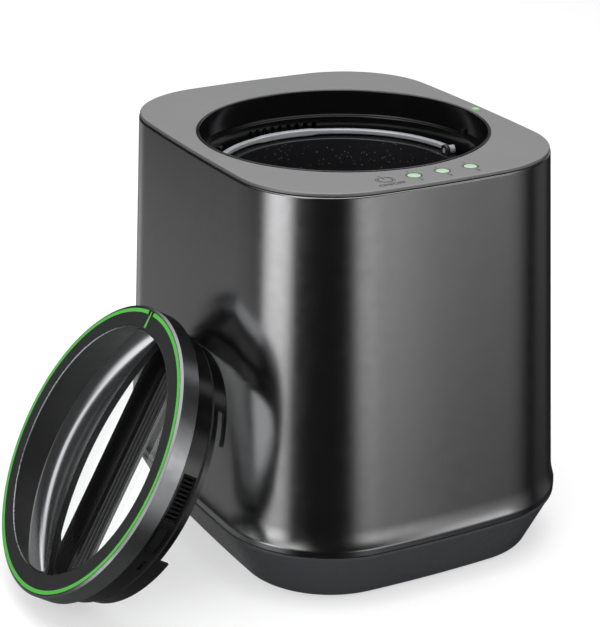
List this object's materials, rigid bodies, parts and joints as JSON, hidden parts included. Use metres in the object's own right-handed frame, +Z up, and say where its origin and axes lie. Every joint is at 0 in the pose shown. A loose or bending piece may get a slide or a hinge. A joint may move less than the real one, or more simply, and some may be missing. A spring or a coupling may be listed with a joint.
{
  "type": "electric food waste composter",
  "caption": "Countertop electric food waste composter: tapered housing, lift-out bucket with stirring arms, rear filter drawer and a loose twist lid leaning on its side.",
  "frame": {"origin": "on the floor, at the centre of the whole part's bounding box seen from above", "axes": "+Z up; the front with the buttons faces -Y; the lid leans on the -X side of the housing, and the inlet and filter drawer are on the +Y side"},
  "size_m": [0.4347, 0.3416, 0.3216],
  "materials": {
    "shell_paint": "satin metallic",
    "panel_paint": "satin",
    "base_plastic": "satin",
    "black_gloss": "gloss",
    "black_plastic": "satin",
    "grey_plastic": "satin",
    "rubber": "matte",
    "steel": "satin",
    "aluminium": "cast",
    "pan_coat": "non-stick coat",
    "lid_metal": "satin metallic",
    "green": "satin",
    "clear": "clear",
    "lamp": "translucent",
    "carbon": "granular",
    "board": "solder mask",
    "cable": "matte",
    "brass": "plain",
    "nylon": "natural",
    "white_ink": "printed"
  },
  "bodies": {
    "housing": {"outer_shell": "shell_paint", "top_panel": "panel_paint", "button_rings": "black_plastic", "indicator_lamps": "black_gloss", "panel_mark": "green", "base_tray": "base_plastic", "rubber_feet": "rubber", "case_screws": "steel", "neck_ring": "black_gloss", "bin_well": "black_gloss", "chassis_deck": "black_plastic", "heater_plate": "aluminium", "heater_coil": "steel", "gear_case": "black_plastic", "gear_cover": "black_plastic", "shaft_bearings": "brass", "idler_pin": "steel", "drive_motor": "steel", "air_duct": "black_plastic", "blower_housing": "black_plastic", "fan_motor": "steel", "filter_bay": "black_plastic", "control_board": "board", "power_board": "board", "ribbon_cable": "cable", "mains_leads": "cable", "power_inlet": "black_plastic", "inlet_pins": "brass", "lid_switch": "black_plastic"},
    "output_drive": {"output_shaft": "steel", "output_gear": "nylon", "drive_coupler": "steel"},
    "idler": {"idler_gear": "nylon"},
    "motor_rotor": {"motor_pinion": "steel"},
    "fan": {"fan_impeller": "black_plastic"},
    "filter_drawer": {"filter_cover": "base_plastic", "filter_cartridge": "black_plastic", "carbon_core": "carbon"},
    "switch_pin": {"lid_switch_pin": "black_plastic"},
    "power_key": {"power_button": "panel_paint", "power_glyph": "white_ink"},
    "mode_key_1": {"mode_button_1": "lamp"},
    "mode_key_2": {"mode_button_2": "lamp"},
    "mode_key_3": {"mode_button_3": "lamp"},
    "bucket": {"bucket_shell": "pan_coat", "bucket_breakers": "aluminium", "bucket_bushing": "brass"},
    "mixer": {"agitator": "aluminium"},
    "bail": {"bucket_bail": "grey_plastic"},
    "seal": {"lid_seal": "rubber"},
    "lid": {"lid_rim": "lid_metal", "lid_marks": "green", "lid_mark_bed": "black_plastic", "lid_collar": "black_plastic", "lid_window": "clear", "lid_crossbar": "black_plastic", "handle_cover": "black_gloss", "handle_base": "black_plastic", "lid_screws": "steel"}
  },
  "joints": [
    {"name": "output_spin", "type": "hinge", "parent": "housing", "child": "output_drive", "pos_m": [0.07555, -0.007, 0.072], "axis": [0, 0, 1], "continuous": true},
    {"name": "idler_spin", "type": "hinge", "parent": "housing", "child": "idler", "pos_m": [0.03767, 0.01487, 0.08], "axis": [0, 0, 1], "continuous": true},
    {"name": "motor_spin", "type": "hinge", "parent": "housing", "child": "motor_rotor", "pos_m": [0.00243, 0.00205, 0.08], "axis": [0, 0, 1], "continuous": true},
    {"name": "bucket_lift", "type": "slide", "parent": "housing", "child": "bucket", "axis": [0, 0, 1], "range_m": [0, 0.23]},
    {"name": "mixer_spin", "type": "hinge", "parent": "bucket", "child": "mixer", "pos_m": [0.07555, -0.007, 0.14], "axis": [0, 0, 1], "continuous": true},
    {"name": "bail_swing", "type": "hinge", "parent": "bucket", "child": "bail", "pos_m": [0.07555, -0.007, 0.2905], "axis": [1, 0, 0], "range_deg": [0, 180]},
    {"name": "fan_spin", "type": "hinge", "parent": "housing", "child": "fan", "pos_m": [0.07555, 0.098, 0.096], "axis": [0, 0, 1], "continuous": true},
    {"name": "filter_pull", "type": "slide", "parent": "housing", "child": "filter_drawer", "axis": [0, 1, 0], "range_m": [0, 0.08]},
    {"name": "power_press", "type": "slide", "parent": "housing", "child": "power_key", "axis": [0, 0, -1], "range_m": [0, 0.0009], "stiffness_N_per_m": 600},
    {"name": "mode_press_1", "type": "slide", "parent": "housing", "child": "mode_key_1", "axis": [0, 0, -1], "range_m": [0, 0.0009], "stiffness_N_per_m": 600},
    {"name": "mode_press_2", "type": "slide", "parent": "housing", "child": "mode_key_2", "axis": [0, 0, -1], "range_m": [0, 0.0009], "stiffness_N_per_m": 600},
    {"name": "mode_press_3", "type": "slide", "parent": "housing", "child": "mode_key_3", "axis": [0, 0, -1], "range_m": [0, 0.0009], "stiffness_N_per_m": 600},
    {"name": "switch_press", "type": "slide", "parent": "housing", "child": "switch_pin", "axis": [0, 0, -1], "range_m": [0, 0.0024], "stiffness_N_per_m": 300},
    {"name": "lid_lift", "type": "slide", "parent": "housing", "child": "seal", "axis": [0, 0, 1], "range_m": [0, 0.33]},
    {"name": "lid_turn", "type": "hinge", "parent": "seal", "child": "lid", "pos_m": [-0.15652, -0.0377, 0.11431], "axis": [-0.8427, 0.0338, 0.5373], "range_deg": [0, 15]}
  ],
  "couplings": [
    {"joint": "idler_spin", "follows": "output_spin", "ratio": -4},
    {"joint": "motor_spin", "follows": "output_spin", "ratio": 16},
    {"joint": "mixer_spin", "follows": "output_spin", "ratio": 1}
  ]
}
